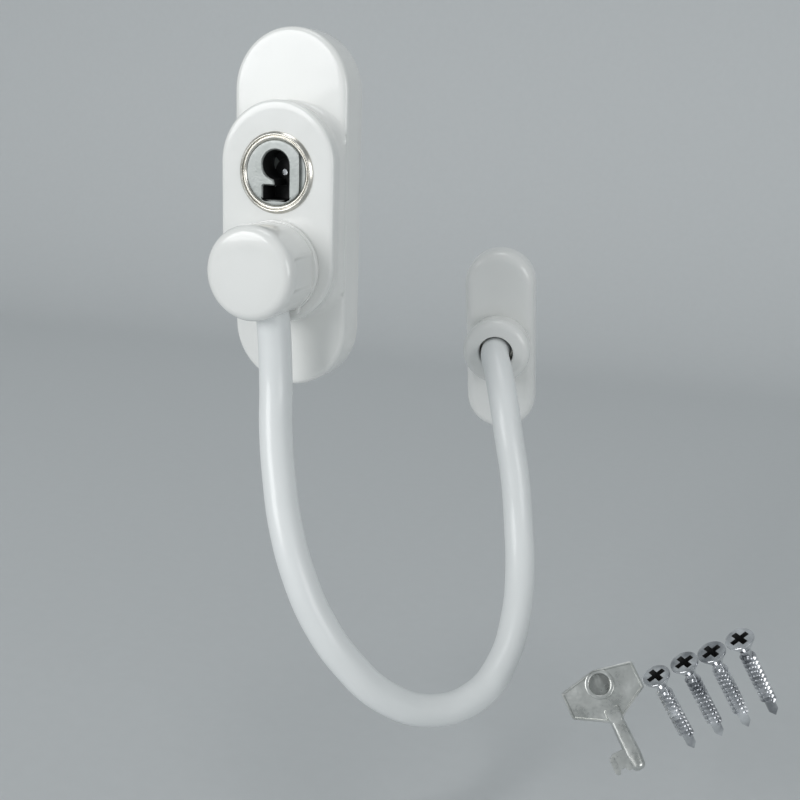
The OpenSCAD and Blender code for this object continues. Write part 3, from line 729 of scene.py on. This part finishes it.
def add_key():
    """Cast key: six-sided bow with a raised rim and eyelet, stepped shaft and notched bit."""
    bow = [(-8.25, 3.9, 0.7), (0, 5.5, 3), (8.25, 3.9, 0.7), (8.25, -1.9, 0.7), (1.7, -5.5, 0.7),
           (-1.7, -5.5, 0.7), (-8.25, -1.9, 0.7)]
    top, sunk, eye, eye_r, eyelet_r = 0.9, 0.5, 2.3, 2.4, 3.1
    bm = bmesh.new()
    stacked(bm, rounded(bow, steps=4), [
        (0.6, -sunk), (0.5, 0.1 - top), (0.42, -top), (0.2, -top), (0.05, 0.1 - top),
        (0, 0.3 - top), (0, top - 0.3), (0.05, top - 0.1), (0.2, top), (0.42, top),
        (0.5, top - 0.1), (0.6, sunk)])
    swept(bm, [(eye_r, sunk), (eye_r, -sunk)], (0, eye), steps=48)
    fill(bm, sunk)
    fill(bm, -sunk)
    eyelet = bmesh.new()
    swept(eyelet, rounded([
        (2.7, top), (eyelet_r, top, 0.2), (eyelet_r, -top, 0.2), (2.25, -top, 0.2),
        (2.25, top, 0.2), (2.7, top)], steps=4), (0, eye), steps=48)
    for part in (eyelet, shaft_shape(), bit_shape(), ward_shape()):
        add_mesh(bm, part)
    piece("cast_key", bm, KEY, "lock", ["key"], CAST_ZINC)


def shaft_shape():
    """Shaft with a stepped root at the bow, a flat face on each side and a rounded end."""
    r, collar_r, length, flats_from, flat = 1.5, 1.8, 13.6, 3.5, 1.15
    made = bmesh.new()
    swept(made, rounded([(0, 0), (r, 0, 1.2), (r, 3.6, 0.2), (r, 10.6, 0.2),
                         (collar_r, 11.2, 0.2), (collar_r, length, 0.5), (0, length)], steps=6),
          steps=32)
    for v in made.verts:
        if v.co.z > flats_from:
            v.co.y = max(-flat, min(flat, v.co.y))
    stand = Matrix.Translation((0, KEY_TIP, 0)) @ Matrix.Rotation(math.radians(-90), 4, "X")
    bmesh.ops.transform(made, matrix=stand, verts=made.verts)
    return made


def bit_shape():
    """Bit that stands to the left of the shaft's end, with a notch in its foot."""
    half, soft = 1, 0.28
    outline = rounded([(-0.6, -15.7), (-0.6, -11.4), (-4.6, -11.4, 1.2), (-5.2, -15.7, 0.8),
                       (-4.0, -15.7, 0.3), (-3.7, -14.9, 0.3), (-2.6, -14.9, 0.3),
                       (-2.3, -15.7, 0.3)], steps=4)
    made = bmesh.new()
    stacked(made, outline, soft_edges(-half, half, soft))
    fill(made, -half)
    fill(made, half)
    return made


def ward_shape():
    """Thicker outer end of the bit."""
    half, soft = 1.35, 0.25
    outline = rounded([(-5.0, -14.1, 0.3), (-5.0, -11.9, 0.6), (-3.9, -11.9, 0.4),
                       (-3.9, -14.1, 0.3)], steps=4)
    made = bmesh.new()
    stacked(made, outline, soft_edges(-half, half, soft))
    fill(made, -half)
    fill(made, half)
    return made


SCREW_L, SCREW_D, SCREW_HEAD_D = 21.0, 3.2, 5.8
SCREW_ROOT_R = SCREW_D / 2 - 0.5
SCREW_PLACES = [(84.25, -11, -88), (89.5, -11, -84), (94.5, -11, -80.75), (99.5, -11, -77)]


def cross_outline(reach, arm):
    """Outline of a cross recess, whose arms reach so far and are twice arm wide."""
    return rounded([(reach, -arm, 0.1), (reach, arm, 0.1), (arm, arm), (arm, reach, 0.1),
                    (-arm, reach, 0.1), (-arm, arm), (-reach, arm, 0.1), (-reach, -arm, 0.1),
                    (-arm, -arm), (-arm, -reach, 0.1), (arm, -reach, 0.1), (arm, -arm)], steps=2)


def screw_shape():
    """Countersunk self-drilling screw, its head's face at height 0 and its point below."""
    head_r, root_r = SCREW_HEAD_D / 2, SCREW_ROOT_R
    reach, arm, recess, taper = 1.95, 0.6, 2.2, 0.4
    bit_half, bit_top = 0.6, 3.0
    bm = bmesh.new()
    swept(bm, rounded([
        (head_r - 0.35, 0), (head_r, 0, 0.1), (head_r, -0.4, 0.1), (root_r + 0.25, -2.6, 0.4),
        (root_r, -3.4), (root_r, -SCREW_L + 4.3), (root_r - 0.1, -SCREW_L + 3.9),
        (root_r - 0.1, -SCREW_L + 1.5, 0.2), (0.15, -SCREW_L)], steps=3), steps=32)
    _, edges = joined(bm, [(x, y, 0) for x, y in cross_outline(reach, arm)], closed=True)
    fill(bm, 0)
    deep, floor = new_chain(bmesh.ops.extrude_edge_only(bm, edges=edges))
    bmesh.ops.translate(bm, verts=deep, vec=(0, 0, -recess))
    bmesh.ops.scale(bm, verts=deep, vec=(taper, taper, 1))
    bmesh.ops.contextual_create(bm, geom=floor)
    # Painted shade: the cross recess's walls take slot 1, the near-black material standing in for
    # its shadow.
    for face in bm.faces:
        centre = face.calc_center_median()
        face.material_index = int(centre.xy.length < 1.9 and -2.3 < centre.z < -0.1
                                  and any(v in deep for v in face.verts))
    tip = [v for v in bm.verts if v.co.z < -SCREW_L + 0.01]
    bmesh.ops.contextual_create(bm, geom=tip)
    for v in bm.verts:
        if -SCREW_L + 0.2 < v.co.z < -SCREW_L + bit_top:
            v.co.x = max(-bit_half, min(bit_half, v.co.x))
    return bm


def thread_shape():
    """One ridge wound round the shank."""
    pitch, turns, per_turn = 1.15, 11, 20
    start, foot, crest = -SCREW_L + 4.2, 0.33, 0.07
    bm = bmesh.new()
    _, edges = joined(bm, [(SCREW_ROOT_R, 0, start - foot), (SCREW_D / 2, 0, start - crest),
                           (SCREW_D / 2, 0, start + crest), (SCREW_ROOT_R, 0, start + foot)],
                      closed=True)
    bmesh.ops.contextual_create(bm, geom=edges)
    made = bmesh.ops.spin(bm, geom=edges, cent=(0, 0, 0), axis=(0, 0, 1),
                          dvec=(0, 0, pitch / per_turn), angle=2 * math.pi * turns,
                          steps=turns * per_turn, use_merge=False, use_duplicate=False)
    last = [g for g in made["geom_last"] if isinstance(g, bmesh.types.BMEdge)]
    bmesh.ops.contextual_create(bm, geom=last)
    return bm


def add_screws():
    """Four loose screws side by side, all leaning the same way."""
    lean = (Matrix.Rotation(math.radians(-50), 4, "Z") @ Matrix.Rotation(math.radians(31), 4, "X")
            @ Matrix.Scale(MM, 4))
    for number, spot in enumerate(SCREW_PLACES, start=1):
        bm = bmesh.new()
        for part in (screw_shape(), thread_shape()):
            add_mesh(bm, part)
        where = Matrix.Translation(Vector(spot) * MM) @ lean
        screw = piece(f"mounting_screw_{number}", bm, where, "lock", ["mounting_screws"],
                      BRIGHT_ZINC, sharp=28)
        # Slot 1 holds the near-black painted shade for the cross recess.
        screw.data.materials.append(PAINTED_SHADE_BORE.material)


add_key()
add_screws()


# --- studio --------------------------------------------------------------------


def add_backdrop():
    """Pale floor that curves up into a backdrop."""
    floor, back, bend, half_width = cad_bounds[0].z - 0.02, 0.7, 0.25, 2
    front, height = -1.5, 1.6
    bm = bmesh.new()
    _, edges = joined(bm, [(-half_width, y, z) for y, z in rounded(
        [(front, floor), (back, floor, bend), (back, height)], steps=16)])
    made = bmesh.ops.extrude_edge_only(bm, edges=edges)
    bmesh.ops.translate(bm, verts=new_chain(made)[0], vec=(2 * half_width, 0, 0))
    bmesh.ops.recalc_face_normals(bm, faces=bm.faces)
    mesh = bpy.data.meshes.new("floor")
    bm.to_mesh(mesh)
    bm.free()
    mesh.shade_smooth()
    paper = Finish("backdrop_paper")
    grain = paper.noise(0.004, detail=3)
    paper.set(Base_Color=paper.tint(grain, (0.56, 0.58, 0.59), (0.59, 0.61, 0.62)),
              Roughness=paper.between(grain, 0.8, 0.9))
    mesh.materials.append(paper.material)
    floor_object = bpy.data.objects.new("floor", mesh)
    bpy.context.collection.objects.link(floor_object)


def add_light(name, spot, aim, size, power):
    """Round soft light at a spot, turned to what it aims at."""
    data = bpy.data.lights.new(name, "AREA")
    data.shape = "DISK"
    data.size, data.energy = size, power
    light = bpy.data.objects.new(name, data)
    light.location = spot
    light.rotation_mode = "QUATERNION"
    light.rotation_quaternion = (Vector(spot) - Vector(aim)).to_track_quat("Z", "Y")
    bpy.context.collection.objects.link(light)


def add_studio():
    """Three soft lights in a pale, faintly blue room."""
    centre = (0.03, 0, -0.04)
    room_tone, room_strength = (0.8, 0.86, 0.88, 1), 0.4
    add_light("key_light", (-0.75, -1.3, 0.45), centre, size=0.9, power=11)
    add_light("fill_light", (1.25, -0.8, 0.15), centre, size=0.8, power=4.5)
    add_light("top_light", (0.0, -0.25, 1.5), centre, size=0.7, power=3)
    world = bpy.data.worlds.new("studio")
    bpy.context.scene.world = world
    world.use_nodes = True
    room = world.node_tree.nodes["Background"]
    room.inputs["Color"].default_value = room_tone
    room.inputs["Strength"].default_value = room_strength
    bpy.context.scene.view_settings.view_transform = "Standard"


add_backdrop()
add_studio()

bpy.context.view_layer.update()
